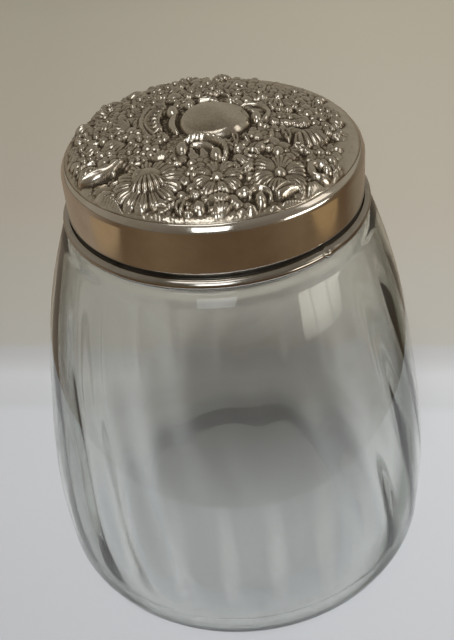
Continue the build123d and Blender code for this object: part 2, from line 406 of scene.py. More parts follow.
def make_jar():
    """The jar, turned, with soft ribs inside and a slightly uneven skin and wall."""
    outer, inner, under = jar_profile()
    n_outer, n_inner = len(outer), len(inner)
    profile = outer + inner + under
    first_inner, last_inner = n_outer, n_outer + n_inner
    segments = 264
    index = np.arange(len(profile))[:, None]
    is_inner = (index >= first_inner) & (index < last_inner)

    def offset(r, z, a):
        """Uneven skin outside; an uneven wall and ribs, strongest low down, inside."""
        p = np.stack([np.cos(a) * 50, np.sin(a) * 50, z], -1)
        wall_wave = soft_noise(p, 30, 3.1) * 0.44 + soft_noise(p, 14, 9.4) * 0.06
        skin_wave = soft_noise(p, 48, 21.0) * 0.22
        side = np.clip((z - 14) / 14, 0, 1) * np.clip((112 - z) / 10, 0, 1)
        fade = np.clip((z - 15) / 14, 0, 1) * (0.30 + 0.70 * np.clip((86 - z) / 50, 0, 1))
        fade = fade * np.clip((112 - z) / 14, 0, 1)
        swirl = a + 0.0035 * (z - 60)
        ribs = RIB_DEPTH * np.cos(RIBS * swirl + 0.6 * np.sin(3 * a)) * fade
        dr = np.where(is_inner, -ribs + wall_wave * side, skin_wave * side)
        return dr, np.zeros_like(dr)

    vertices = turned(profile, segments, offset)
    faces = ring_faces(len(profile), segments, False)
    top_of_floor = (last_inner - 1) * segments
    kick_top = last_inner * segments
    faces = [f for f in faces if not top_of_floor <= f[0] < top_of_floor + segments]
    faces.append(tuple(top_of_floor + j for j in range(segments)))
    faces.append(tuple(kick_top + segments - 1 - j for j in range(segments)))
    last = (len(profile) - 1) * segments
    for j in range(segments):
        k = (j + 1) % segments
        faces.append((last + j, last + k, k, j))
    jar = new_piece("jar_glass", vertices, faces, GLASS, "jar", ["glass_jar"])
    jar.visible_shadow = False      # the shade painted on the table takes its place


make_jar()


# ---------------------------------------------------------------- collar

def make_bead():
    """The half-round ring at the foot of the collar, slightly uneven, with its soldered butt joint."""
    tube = 1.4
    hub = BEAD_RADIUS - tube
    profile = [(COLLAR_RADIUS - 0.05, BEAD_HEIGHT - 0.72)]
    profile += [(hub + tube * math.cos(t), BEAD_HEIGHT + tube * math.sin(t))
                for t in np.radians(np.linspace(-149, 149, 26))]
    profile += [(COLLAR_RADIUS - 0.05, BEAD_HEIGHT + 0.72)]
    joint_angle = math.radians(-52)

    def offset(r, z, a):
        """A hand-made wobble, and the gap and solder lump of the joint."""
        p = np.stack([r * np.cos(a), r * np.sin(a), z], -1)
        wobble = soft_noise(p, 9, 2.2) * 0.05 + soft_noise(p, 3, 5.0) * 0.02
        gap = np.angle(np.exp(1j * (a - joint_angle))) * hub
        lump = 0.22 * np.exp(-((gap - 1.0) / 1.3) ** 2) - 0.50 * np.exp(-(gap / 0.35) ** 2)
        lean = (z - BEAD_HEIGHT) / tube
        away = (r - hub) / tube
        return (wobble + lump) * away, (wobble + lump) * lean

    vertices = turned(profile, 360, offset)
    faces = ring_faces(len(profile), 360, True)
    new_piece("collar_bead_ring", vertices, faces, SILVER_COLLAR, "jar", ["collar_bead"])


make_bead()
# the collar band gets the darker silver: painted shade in the gap under the lid
for node, mat in (("collar_band", SILVER_GAP_SHADE), ("neck_cement", PLASTER), ("lid_liner", SILVER_BAND)):
    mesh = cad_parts[node].data
    mesh.materials.clear()
    mesh.materials.append(mat)


# ---------------------------------------------------------------- lid band

def make_band():
    """The plain side of the lid: a straight skirt turned over into the seat the plate lies in."""
    sheet = 0.6
    seat = PLATE_FOOT
    ledge = 33.0
    outside = [(LID_RADIUS - 0.28, LID_BOTTOM), (LID_RADIUS - 0.07, LID_BOTTOM + 0.08)]
    outside += [(LID_RADIUS, z) for z in np.linspace(LID_BOTTOM + 0.3, HUB_HEIGHT, 20)]
    outside += arc((HUB, HUB_HEIGHT), LID_ROUND, 0, SEAM_ANGLE - 2, 22)[1:]
    outside += [(SEAM_RADIUS, LID_TOP - 0.04), (SEAM_RADIUS - 0.02, LID_TOP - 0.10)]
    outside += [(SEAM_RADIUS - 0.02, seat), (ledge, seat)]
    inside = [(ledge, seat - sheet), (HUB + 1.6, seat - sheet)]
    inside += arc((HUB, HUB_HEIGHT), LID_ROUND - sheet, 28, 0, 8)
    inside += [(LID_RADIUS - sheet, z) for z in np.linspace(HUB_HEIGHT - 1, LID_BOTTOM + 0.2, 8)]

    def offset(r, z, a):
        """Shallow dents in the skirt and a slightly wavy lower edge."""
        p = np.stack([r * np.cos(a), r * np.sin(a), z * 0.6], -1)
        dent = soft_noise(p, 22, 1.7) * 0.12 + soft_noise(p, 9, 6.3) * 0.034
        outer = np.clip((r - 36.9) / 0.6, 0, 1)
        return dent * outer, soft_noise(p, 12, 4.4) * 0.05 * outer * np.clip((LID_TOP - z) / 4, 0, 1)

    profile = outside + inside
    vertices = turned(profile, 360, offset)
    faces = ring_faces(len(profile), 360, True)
    new_piece("lid_side_band", vertices, faces, SILVER_BAND, "lid", ["lid_band"])


make_band()


# ---------------------------------------------------------------- repousse plate

APEX = 137.6                    # top of the dome, without its ornament
LIFT = APEX - HUB_HEIGHT - LID_ROUND
DROP = (HUB**2 - LIFT**2) / (2 * LIFT)
CAP_BALL = LIFT + DROP + LID_ROUND
CAP_RADIUS = HUB + LID_ROUND * HUB / math.hypot(HUB, DROP)
MARGIN = 31.6                   # radius where the plain margin on the right begins
RIM = SEAM_RADIUS - 0.04
GRID = 311                      # points across the plate's mesh
FIELD = (1.3, -0.5, 8.9, 8.8)   # the plain field: its centre and its half lengths


def disc_grid(n, radius):
    """A square grid bent onto a disc, so that its rim is smooth."""
    s = np.linspace(-1, 1, n)
    u, v = np.meshgrid(s, s)
    x = u * np.sqrt(1 - v * v / 2)
    y = v * np.sqrt(1 - u * u / 2)
    return x * radius, y * radius


def plate_base(x, y):
    """A shallow dome that runs smoothly into the rounding of the lid's shoulder."""
    r = np.hypot(x, y)
    cap = APEX - CAP_BALL + np.sqrt(CAP_BALL**2 - np.minimum(r, CAP_RADIUS)**2)
    over = np.clip(r - HUB, 0, LID_ROUND)
    shoulder = HUB_HEIGHT + np.sqrt(LID_ROUND**2 - over**2)
    return np.where(r < CAP_RADIUS, cap, shoulder)


X, Y = disc_grid(GRID, RIM)
RELIEF = np.full(X.shape, -9.0)


def local(x, y, turn):
    """Coordinates in an ornament's own frame: u along its direction, v across it."""
    c, s = math.cos(math.radians(turn)), math.sin(math.radians(turn))
    dx, dy = X - x, Y - y
    return dx * c + dy * s, -dx * s + dy * c


def put(height):
    """Lays an ornament over what is already there; the higher surface wins."""
    global RELIEF
    RELIEF = np.maximum(RELIEF, height)


def dome(d):
    """Height of a round boss at the share d of its radius."""
    return np.sqrt(np.maximum(1 - d * d, 0))


def ball(x, y, r, h=None, stretch=1.0, turn=0.0):
    """A round or oval boss."""
    u, v = local(x, y, turn)
    d = np.hypot(u / (r * stretch), v / r)
    h = r * 0.85 if h is None else h
    put(np.where(d < 1, h * dome(d), -9))


def petal(x, y, length, width, turn, h, strokes=7, base=0.25):
    """A domed, striated petal: starts at (x, y), widens and then rounds off to its tip."""
    u, v = local(x, y, turn)
    t = u / length
    half = width / 2 * np.clip(0.30 + 0.95 * t, 0.05, 1) * dome(np.clip((t - 0.52) / 0.48, 0, 1))
    across = v / np.maximum(half, 1e-3)
    inside = (t > 0) & (t < 1) & (np.abs(across) < 1)
    along = np.sin(np.clip(t, 0, 1) ** 0.75 * math.pi * 0.93) ** 0.7
    groove = (0.5 - 0.5 * np.cos((across * strokes / 2 + 0.5 * (strokes % 2)) * 2 * math.pi)) ** 2
    height = base + (h - base) * along * dome(across) ** 0.8
    height = height * (1.04 - 0.20 * (1 - groove) * np.clip(t * 3, 0, 1))
    put(np.where(inside, height, -9))


def blossom(x, y, r, petals, turn, h=1.1, strokes=5, centre=0.30):
    """An open flower: a dished disc with a scalloped rim, valleys between petals and fine strokes."""
    u, v = local(x, y, turn)
    ang = np.arctan2(v, u)
    lobe = np.abs(np.cos(petals * ang / 2))
    t = np.hypot(u, v) / (r * (0.80 + 0.20 * lobe ** 0.6))
    dish = 0.45 + 0.55 * np.sin(np.clip(t / 0.62, 0, 1) * math.pi / 2) ** 2
    dish = dish * dome(np.clip((t - 0.62) / 0.38, 0, 1)) ** 0.8
    valley = 0.66 + 0.34 * lobe ** 0.55
    stroke = 1 - 0.24 * (0.5 - 0.5 * np.cos(petals * strokes * ang)) ** 1.5 * np.clip(t * 2.4 - 0.5, 0, 1)
    tilt = 1 + 0.06 * np.sin(3 * ang + turn)
    put(np.where(t < 1, h * dish * valley * stroke * tilt, -9))
    if centre:
        ball(x, y, r * centre, h * 1.12)


def shell(x, y, length, spread, turn, h, ribs):
    """A ribbed fan opening from (x, y), high in the middle, with a scalloped edge."""
    u, v = local(x, y, turn)
    rad = np.hypot(u, v)
    ang = np.degrees(np.arctan2(v, u))
    side = ang / spread
    wave = np.abs(np.sin(math.pi / 2 * ribs * (side + 1)))
    reach = length * (1 - 0.10 * side**2 + 0.03 * wave)
    t = rad / reach
    inside = (t < 1) & (np.abs(side) < 1) & (u > -0.1)
    crown = np.sin(np.clip(t, 0, 1) ** 1.1 * math.pi * 0.84)
    height = h * (crown * (1 - 0.55 * side**2) + 0.26 * (wave - 0.5) * np.clip(t * 1.6, 0, 1))
    edge = np.clip((1 - t) * reach / 0.35, 0, 1) * np.clip((1 - np.abs(side)) * 5, 0, 1)
    put(np.where(inside, height * np.sqrt(edge) + 0.1, -9))


def scroll(cx, cy, radius, start, end, width, h, rope=0.0, taper=0.35, face="round"):
    """A C-scroll: a raised band along an arc, thinner towards its ends; rope is its twist's pitch."""
    dx, dy = X - cx, Y - cy
    ang = np.degrees(np.arctan2(dy, dx))
    span = end - start
    s = ((ang - start) % 360) / span
    w = width / 2 * (1 - taper * np.abs(2 * s - 1) ** 2.2)
    off = np.hypot(dx, dy) - radius
    across = off / w
    inside = (s >= 0) & (s <= 1) & (np.abs(across) < 1)
    if face == "round":
        section = dome(across) ** 0.8
    elif face == "trough":
        section = 0.62 + 0.38 * np.abs(across) ** 2
        section = section * np.clip((1 - np.abs(across)) * w / 0.28, 0, 1) ** 0.5
    else:
        section = np.clip((across + 1) / 2, 0, 1) ** 1.3 * np.clip((1 - across) * w / 0.3, 0, 1) ** 0.5
    height = h * section
    if rope:
        run = s * math.radians(abs(span)) * radius
        height = height + 0.16 * np.sin(run * 2 * math.pi / rope + across * 1.8) * section
    ends = np.clip(s * 8, 0, 1) * np.clip((1 - s) * 8, 0, 1)
    put(np.where(inside, height * (0.55 + 0.45 * ends), -9))


def leaf(x0, y0, x1, y1, width, h, bend=0.0, veins=7, bulge=0.45):
    """A leaf from root to tip with a sunk midrib and oblique veins; bend bows it sideways."""
    length = math.dist((x0, y0), (x1, y1))
    u, v = local(x0, y0, math.degrees(math.atan2(y1 - y0, x1 - x0)))
    t = u / length
    v = v - bend * np.sin(np.clip(t, 0, 1) * math.pi)
    half = width / 2 * np.sin(np.clip(t, 0, 1) ** bulge * math.pi) ** 0.75
    across = v / np.maximum(half, 1e-3)
    inside = (t > 0) & (t < 1) & (np.abs(across) < 1)
    section = np.clip(np.abs(across) * 1.2 + 0.55, 0, 1)
    section = section * np.clip((1 - np.abs(across)) * half / 0.35, 0, 1) ** 0.5
    vein = 0.12 * np.cos((t * veins - np.abs(across) * 0.8) * 2 * math.pi)
    put(np.where(inside, h * section * (1 + vein), -9))


def cartouche(x, y, a, b, h):
    """The plain field: a smooth cushion with a soft crest running from back left to front right."""
    u, v = local(x, y, 0)
    d = (np.abs(u / a) ** 2.2 + np.abs(v / b) ** 2.2) ** (1 / 2.2)
    along, across = local(x + 1.0, y - 0.2, -62)
    crest = np.exp(-(across / 3.6) ** 2) * np.exp(-(along / 9.0) ** 4)
    edge = np.clip((1 - d) * a / 1.6, 0, 1)
    put(np.where(d < 1, (h * 0.72 + h * 0.42 * crest) * np.sin(edge * math.pi / 2) ** 0.8 + 0.1, -9))


def stipple(points):
    """Punched ground: fine random pits."""
    coarse = soft_noise(points, 0.75, 4.0)
    fine = soft_noise(points, 0.42, 8.0)
    return 0.26 * coarse + 0.17 * fine


def clear(x, y, r, stretch=1.0, turn=0.0, depth=0.6):
    """Sinks what lies under a large ornament, so that it stands in its own hollow."""
    global RELIEF
    u, v = local(x, y, turn)
    d = np.hypot(u / (r * stretch), v / r)
    RELIEF = np.where(d < 1, np.minimum(RELIEF, depth + 1.5 * np.clip((d - 0.80) / 0.20, 0, 1)), RELIEF)


def on_plain_margin(x, y):
    """The right side of the plate is left plain near its rim."""
    return math.hypot(x, y) > MARGIN and -34 < math.degrees(math.atan2(y, x)) < 66


def point_at(x, y, reach, degrees):
    """The point at a distance and a direction from (x, y)."""
    a = math.radians(degrees)
    return x + reach * math.cos(a), y + reach * math.sin(a)


def lay_fillers():
    """The crowded small blossoms, leaves, fans and berries between the large ornaments."""
    rings = ((13.5, 12, 3.0), (18.0, 15, 3.3), (22.6, 18, 3.4),
             (27.0, 22, 3.3), (30.8, 27, 3.0), (33.7, 36, 2.3))
    spots = []
    for ring, count, size in rings:
        for k in range(count):
            a = 2 * math.pi * (k + rng.uniform(-0.25, 0.25)) / count
            r = ring + rng.uniform(-0.6, 0.6)
            spots.append((r * math.cos(a), r * math.sin(a), size * rng.uniform(0.85, 1.15)))
    for x, y, size in spots:
        turn = rng.uniform(0, 360)
        kind = rng.uniform(0, 1)
        h = rng.uniform(1.2, 1.7)
        if on_plain_margin(x, y):
            continue
        if kind < 0.50:
            blossom(x, y, size, int(rng.integers(4, 6)), turn, h, 3, 0.30)
        elif kind < 0.64:
            shell(x, y, size * 1.3, 52, turn, h * 1.05, 5)
        elif kind < 0.80:
            root = point_at(x, y, -size, turn)
            tip = point_at(x, y, size, turn)
            leaf(*root, *tip, size * 1.2, h * 0.9, rng.uniform(-0.8, 0.8), 4)
            ball(*point_at(x, y, size * 0.7, turn - 90), size * 0.40)
        else:
            for j in range(3):
                ball(*point_at(x, y, size * 0.5, turn + 125 * j), size * rng.uniform(0.40, 0.55))


def bunch(items, h):
    """Overlapping small ornaments, each given by its place, radius, petals and turn."""
    for k, (x, y, r, lobes, turn) in enumerate(items):
        tall = h * (1.05 + 0.14 * math.sin(1.7 * k))
        clear(x, y, r * 1.15, depth=0.6)
        if k % 4 == 2:
            lean = turn * 5 + 200
            shell(*point_at(x, y, -r, lean), r * 2.5, 48, lean, tall * 1.1, 6)
        elif k % 4 == 0:
            for j in range(lobes - 1):
                direction = turn + 360 * j / (lobes - 1)
                swell = 0.10 * math.sin(2.1 * j)
                berry = point_at(x, y, r * 0.66, direction)
                ball(*berry, r * (0.66 + swell), tall * (0.86 + swell), 1.15, direction)
        else:
            blossom(x, y, r * 1.42, lobes, turn, tall, 4, 0.30)


def lay_left():
    """The ruffled peony, the swoosh over it and the blossoms on the left."""
    bunch((
        (-33.2, -7.2, 2.2, 5, 0), (-30.6, -9.6, 2.1, 5, 40), (-28.9, -12.9, 2.2, 5, 10),
        (-27.6, -6.6, 2.4, 5, 20), (-24.6, -12.0, 2.3, 5, 60), (-17.1, -6.4, 2.4, 5, 30),
        (-22.3, -5.4, 2.6, 5, 0), (-19.6, -10.6, 2.3, 5, 75), (-14.9, -11.6, 2.1, 5, 15),
        (-17.5, -14.6, 1.7, 4, 0), (-12.0, -15.2, 1.9, 5, 50), (-8.8, -16.9, 1.7, 4, 20),
        (-25.6, -9.0, 1.9, 4, 30), (-31.8, -3.2, 2.3, 5, 10), (-28.0, -4.2, 1.9, 4, 0),
        (-24.1, -1.4, 2.5, 5, 45), (-19.1, -2.0, 2.3, 5, 5), (-28.2, 1.4, 2.5, 5, 30),
        (-21.4, 3.0, 2.6, 5, 60), (-31.2, 4.2, 2.4, 5, 0), (-28.6, 7.4, 2.5, 5, 20),
        (-19.6, 8.8, 2.6, 5, 50), (-24.6, 6.2, 2.1, 4, 10), (-19.2, 13.6, 2.6, 5, 0),
        (-22.9, 11.2, 2.3, 5, 35), (-26.6, 13.0, 2.6, 5, 15), (-31.0, 9.6, 2.3, 5, 0),
        (-17.4, 18.4, 2.7, 5, 25), (-22.4, 18.4, 2.8, 5, 55), (-13.8, 14.6, 2.3, 5, 5),
        (-29.4, 15.6, 2.3, 5, 30), (-25.8, 20.6, 2.4, 5, 0),
    ), 1.9)
    clear(-27.0, -19.6, 4.6, 1.35, -20)
    leaf(-31.8, -17.2, -20.2, -12.8, 3.9, 2.3, -1.1, 1.5, 0.7)
    scroll(-30.0, -15.9, 1.5, 60, 260, 1.5, 2.0, 0, 0.3)
    scroll(-24.2, -15.2, 5.0, -92, -30, 1.1, 1.2, 0, 0.5)
    ball(-26.0, -23.8, 1.9, 1.7, 1.5, 20)
    leaf(-27.4, -24.6, -21.4, -29.8, 4.4, 1.5, 0.3, 9)
    clear(-15.6, -23.4, 8.3)
    blossom(-15.4, -23.3, 8.4, 13, 8, 2.0, 3, 0)
    ball(-15.6, -21.6, 3.9, 2.7, 1.1, 0)
    shell(-15.5, -19.6, 7.6, 50, -87, 3.2, 8)
    ball(-17.6, -20.4, 1.6, 2.8, 1.5, 65)
    ball(-13.7, -19.5, 1.2, 1.9, 1.3, 20)
    petal(-18.4, -27.4, 4.4, 3.4, -64, 1.7, 5)
    petal(-12.6, -28.6, 3.4, 3.0, -80, 1.5, 5)
    clear(-12.6, -33.2, 2.6, 1.6, -20)
    leaf(-8.7, -34.2, -5.2, -28.9, 2.5, 1.9, 0.9, 2)
    ball(-4.0, -33.2, 1.5, 2.0, 1.35, 96)
    leaf(-4.9, -34.6, -4.6, -31.2, 0.9, 2.3, 0.1, 1)


def lay_middle():
    """The plain field in its scroll frame, and what stands round it."""
    clear(-12.0, 3.0, 7.4, 1.1, 90, 1.1)
    scroll(-1.0, 3.0, 13.2, 141, 211, 4.4, 1.6, 0, 0.45, "trough")
    scroll(-1.0, 3.0, 15.9, 143, 209, 1.5, 1.9, 1.6, 0.3)
    for k in range(7):
        direction = 148 + 9.5 * k
        leaf(*point_at(-1, 3, 11.6, direction), *point_at(-1, 3, 14.9, direction), 1.5, 1.9, 0.15, 1)
    scroll(0.4, -0.2, 9.6, 150, 212, 2.2, 1.7, 0, 0.6)
    clear(1.3, -0.4, 10.2, 1.0, 0, 1.2)
    cartouche(*FIELD, 2.5)
    ball(-9.0, 6.2, 1.7, 2.5, 1.45, 90)
    ball(-4.7, 9.4, 1.4, 2.1, 1.2, 90)
    ball(5.9, 10.0, 1.4, 2.0)
    leaf(-2.4, 11.6, 3.4, 9.9, 1.9, 1.9, 0.7, 1)
    clear(11.8, 1.6, 4.4, 1.1, 90, 1.2)
    scroll(10.2, 1.6, 4.5, -62, 124, 1.8, 2.1, 0, 0.35)
    ball(11.6, -0.6, 1.5, 2.5, 1.6, 92)
    leaf(9.6, 5.0, 11.4, 2.0, 1.4, 1.7, 0.2, 1)
    ball(12.3, -5.0, 1.1, 2.1)
    ball(13.4, -5.9, 1.1, 2.1)
    clear(9.4, -10.8, 5.2, 1.0, 0, 1.1)
    scroll(9.3, -8.2, 4.4, -96, 12, 3.9, 2.2, 0, 0.5, "slope")
    leaf(5.6, -9.0, 5.8, -13.6, 1.9, 2.1, 0.2, 1)
    leaf(8.0, -9.2, 9.4, -12.6, 1.7, 2.1, -0.3, 1)
    ball(6.5, -15.0, 1.3, 2.1, 1.5, 20)
    ball(11.2, -14.6, 1.2, 2.1, 1.6, 30)
    clear(-3.0, -14.8, 6.7, 1.0, 0, 1.1)
    scroll(-3.3, -15.6, 6.5, -30, 122, 1.9, 2.4, 1.5, 0.30)
    scroll(-3.5, -16.0, 4.4, 20, 112, 1.6, 1.6, 0, 0.4)
    ball(-7.0, -13.2, 1.7, 2.8, 1.5, 88)
    ball(0.9, -17.0, 1.7, 2.8, 1.5, 92)
    petal(-4.9, -12.4, 4.6, 2.4, -86, 1.7, 4)
    petal(-2.6, -13.2, 4.2, 2.4, -74, 1.7, 4)
    for k in range(6):
        ball(-4.9 + 0.12 * k * k, -18.6 - 2.1 * k, 1.15, 1.7, 1.25, 20)
    clear(0.8, -24.8, 5.9)
    blossom(0.7, -24.9, 6.1, 8, 12, 2.2, 4, 0)
    ball(0.7, -24.9, 1.8, 2.3)
    for k in range(9):
        ball(*point_at(0.7, -24.9, 1.5, 40 * k), 0.45, 1.9)
    clear(0.6, -32.0, 3.0)
    for turn in (52, 90, 128):
        petal(0.6, -33.0, 3.7, 2.5, turn, 2.4, 3)
    shell(0.9, -36.6, 4.6, 42, 90, 1.6, 6)


def lay_right():
    """The six-petalled flower, the fans and the scroll on the right."""
    petal(5.3, -16.8, 4.4, 3.2, -48, 1.7, 4)
    scroll(9.2, -16.9, 1.5, 0, 330, 1.2, 1.9, 0, 0.2)
    bunch((
        (15.2, -13.9, 2.4, 5, 10), (28.3, -22.2, 1.9, 5, 0), (7.6, -21.4, 1.5, 4, 20),
        (19.8, -1.0, 2.2, 5, 20), (24.6, 4.6, 2.3, 5, 0), (29.6, -5.6, 1.9, 5, 10),
        (30.4, 0.2, 1.8, 5, 30), (29.8, 4.8, 2.0, 5, 0), (28.0, 14.0, 2.1, 5, 20),
        (18.2, 5.6, 2.3, 5, 40), (17.2, 9.6, 2.3, 5, 10), (22.4, 8.4, 2.2, 5, 30),
        (23.4, 12.2, 2.3, 5, 0), (22.8, 16.4, 2.4, 5, 50), (16.6, 19.4, 2.7, 5, 15),
        (13.4, 14.2, 2.5, 5, 0), (17.8, 14.4, 2.1, 5, 20), (8.2, 17.0, 2.4, 5, 40),
        (6.6, 22.0, 2.6, 5, 5), (1.6, 18.2, 2.5, 5, 25), (8.4, 27.0, 2.6, 5, 0),
        (-3.8, 18.8, 2.6, 5, 30), (-7.0, 22.4, 2.6, 5, 0), (0.6, 23.6, 2.4, 5, 10),
        (-1.2, 28.8, 2.7, 5, 45), (-12.0, 21.8, 2.6, 5, 20), (-17.2, 25.0, 2.7, 5, 0),
        (-8.2, 28.0, 2.7, 5, 15), (13.6, 24.4, 2.6, 5, 30), (-13.2, 29.8, 2.4, 5, 0),
        (3.6, 31.4, 2.2, 5, 20), (-4.6, 33.4, 2.2, 5, 10),
    ), 1.9)
    ball(-8.4, 16.4, 2.3, 2.3)
    leaf(27.4, 10.6, 25.8, 6.2, 1.8, 1.9, 0.3, 1)
    ball(27.2, 1.5, 1.5, 1.9)
    clear(15.0, -24.2, 6.8)
    blossom(15.0, -24.3, 6.9, 6, 20, 2.4, 5, 0)
    ball(15.0, -24.3, 1.8, 2.5)
    clear(22.8, -8.6, 5.6)
    shell(20.8, -5.4, 8.8, 44, -62, 2.8, 7)
    leaf(24.9, -6.2, 26.4, -12.4, 2.4, 1.9, 0.5, 1)
    leaf(17.7, -6.8, 18.3, -12.4, 2.4, 1.9, 0.4, 3)
    shell(21.2, 0.2, 4.6, 42, -55, 1.7, 6)
    leaf(19.4, -13.2, 23.4, -17.4, 2.3, 1.9, 0.3, 4)
    berries = ((25.3, -15.3, 1.4), (27.6, -17.8, 1.4), (29.7, -13.0, 1.3),
               (28.0, -12.8, 1.1), (25.6, -19.2, 1.2))
    for x, y, r in berries:
        ball(x, y, r, 1.8)
    clear(24.2, -23.0, 3.6)
    scroll(24.2, -23.0, 2.3, 30, 330, 1.8, 2.5, 0, 0.3)
    ball(26.0, -22.2, 1.3, 2.5)
    ball(22.4, -22.6, 1.2, 2.4)
    shell(20.4, -25.4, 5.6, 36, -52, 1.8, 8)
    clear(16.4, -31.0, 2.6, 1.5, 10)
    leaf(13.2, -31.2, 19.4, -28.4, 3.2, 2.4, 0.6, 1, 0.6)
    leaf(14.8, -33.2, 20.6, -30.9, 2.0, 1.0, 0, 9)
    clear(9.8, -31.4, 3.2)
    scroll(9.8, -31.4, 2.3, -20, 190, 1.4, 2.2, 0, 0.3)
    ball(9.8, -32.4, 1.4, 2.6, 1.4, 92)
    ball(6.5, -29.6, 1.4, 2.0)
    ball(7.6, -34.8, 1.2, 1.8)
    ball(12.9, -34.2, 1.1, 1.5)


def box_blur(a, reach):
    """Mean over a square window, edge values repeated."""
    kernel = np.ones(2 * reach + 1) / (2 * reach + 1)
    for axis in (0, 1):
        pad = [(0, 0), (0, 0)]
        pad[axis] = (reach, reach)
        padded = np.pad(a, pad, "edge")
        a = np.apply_along_axis(lambda row: np.convolve(row, kernel, "valid"), axis, padded)
    return a


def make_plate():
    """The domed plate with all its ornament, and how deep each point lies, for the oxide, with a painted
    dark reflection on the plain field.
    """
    global RELIEF
    lay_fillers()
    lay_right()
    lay_left()
    lay_middle()
    ground = 0.34 + stipple(np.stack([X, Y, np.zeros_like(X)], -1))
    r = np.hypot(X, Y)
    direction = np.degrees(np.arctan2(Y, X))
    margin = np.clip((direction + 36) / 4, 0, 1) * np.clip((68 - direction) / 4, 0, 1)
    margin = margin * np.clip((r - MARGIN + 0.6) / 1.6, 0, 1)
    ground = ground * (1 - margin) + 0.55 * margin
    bare = np.clip((ground - RELIEF) * 4, 0, 1) * (1 - margin)
    height = np.maximum(RELIEF, ground)
    height = height * np.clip((RIM - r) / 1.6, 0, 1) ** 0.65
    height = 0.66 * height + 0.34 * box_blur(height, 1)
    z = plate_base(X, Y) + height
    near = box_blur(z, 2) - z
    wide = box_blur(z, 7) - z
    field_x, field_y, half_x, half_y = FIELD
    field = np.clip((1 - np.hypot((X - field_x) / half_x, (Y - field_y) / half_y)) * 6, 0, 1)
    near_rim = np.clip((r - 35.2) / 1.2, 0, 1)
    # painted reflection: the plain field is painted darker towards its front left, as if it mirrored dark
    # surroundings
    field_tone_with_painted_reflection = 0.09 + 0.30 * np.clip((-Y - 1.2) / 5.0, 0, 1) * np.clip((5.5 - X) / 5.0, 0, 1)
    hollow = np.clip(0.18 + 0.16 * bare + near * 2.9 + wide * 0.66 - 0.20 * margin, 0, 1)
    hollow = hollow * (1 - field) + field_tone_with_painted_reflection * field
    hollow = hollow * (1 - 0.55 * near_rim)

    n = GRID
    vertices = np.stack([X, Y, z], -1).reshape(-1, 3)
    index = np.arange(n * n).reshape(n, n)
    quads = np.stack([index[:-1, :-1], index[:-1, 1:], index[1:, 1:], index[1:, :-1]], -1).reshape(-1, 4)
    faces = [tuple(q) for q in quads.tolist()]
    rim = np.concatenate([index[0, :-1], index[:-1, -1], index[-1, :0:-1], index[:0:-1, 0]])
    foot = vertices[rim].copy()
    foot[:, 2] = PLATE_FOOT - 0.1
    start = len(vertices)
    count = len(rim)
    for k in range(count):
        following = (k + 1) % count
        faces.append((int(rim[following]), int(rim[k]), start + k, start + following))
    faces.append(tuple(start + k for k in range(count)))
    vertices = np.concatenate([vertices, foot])
    plate = new_piece("lid_repousse_plate", vertices, faces, REPOUSSE, "lid",
                      ["lid_top_plate"])
    layer = plate.data.attributes.new("hollow", "FLOAT", "POINT")
    values = np.concatenate([hollow.reshape(-1), np.full(count, 0.4)]).astype(np.float32)
    layer.data.foreach_set("value", values)


make_plate()


# ---------------------------------------------------------------- stage, lights and camera

def emitter(name, colour, strength):
    """A plain glowing material for a stage card."""
    mat = bpy.data.materials.new(name)
    mat.use_nodes = True
    tree = mat.node_tree
    tree.nodes.clear()
    out = tree.nodes.new("ShaderNodeOutputMaterial")
    glow = tree.nodes.new("ShaderNodeEmission")
    glow.inputs["Color"].default_value = (*colour, 1)
    glow.inputs["Strength"].default_value = strength
    link(tree, glow.outputs[0], out.inputs["Surface"])
    return mat


def only_in_reflections(obj):
    """Hides a stage card from everything but the mirror of the metal and the glass."""
    obj.visible_camera = False
    obj.visible_diffuse = False
    obj.visible_shadow = False
    obj.visible_transmission = False


def sheet(name, corners, mat, only_reflected=False):
    """A flat stage piece from its corners in millimetres."""
    mesh = bpy.data.meshes.new(name)
    mesh.from_pydata([Vector(c) * MM for c in corners], [], [tuple(range(len(corners)))])
    obj = bpy.data.objects.new(name, mesh)
    bpy.context.scene.collection.objects.link(obj)
    mesh.materials.append(mat)
    if only_reflected:
        only_in_reflections(obj)


def table_top():
    """A pale table, with painted shade where the jar stands on it and along its back edge, painted light
    towards the right, and the duller ground beyond.
    """
    mat, tree, shader = material("stage_table")
    x, y, _ = coordinates(tree)
    depth = maths(tree, "ADD", y, maths(tree, "MULTIPLY", x, 0.146))
    # painted shade: the table is painted darker towards the front and in a band along its back edge,
    # before the duller beige ground, which grows brighter further back
    ground = ramp(tree, remap(tree, depth, -0.06, 0.44, 0, 1), [
        (0.000, (0.455, 0.465, 0.49)),
        (0.120, (0.50, 0.515, 0.54)),
        (0.206, (0.525, 0.54, 0.565)),
        (0.215, (0.495, 0.505, 0.525)),
        (0.248, (0.525, 0.535, 0.55)),
        (0.272, (0.43, 0.43, 0.44)),
        (0.281, (0.42, 0.42, 0.42)),
        (0.286, (0.40, 0.39, 0.36)),
        (0.520, (0.43, 0.395, 0.335)),
        (1.000, (0.52, 0.49, 0.405)),
    ])
    # painted shade: a soft dark disc on the table under the jar stands in for the jar's own shadow
    behind = maths(tree, "SUBTRACT", y, 0.002)
    across = maths(tree, "MULTIPLY", maths(tree, "SUBTRACT", x, 0.002), 1.2)
    across_2 = maths(tree, "MULTIPLY", across, across)
    squares = maths(tree, "ADD", across_2, maths(tree, "MULTIPLY", behind, behind))
    shade = remap(tree, maths(tree, "SQRT", squares), 0.036, 0.054, 0.38, 0.0)
    # painted light: the table is painted brighter towards the right
    side = remap(tree, x, -0.10, 0.10, 0.96, 1.13)
    lit = mix_colour(tree, 1.0, ground, side, "MULTIPLY")
    link(tree, mix_colour(tree, shade, lit, (0.03, 0.03, 0.03)), shader.inputs["Base Color"])
    shader.inputs["Roughness"].default_value = 0.75
    shader.inputs["Specular IOR Level"].default_value = 0.2
    return mat


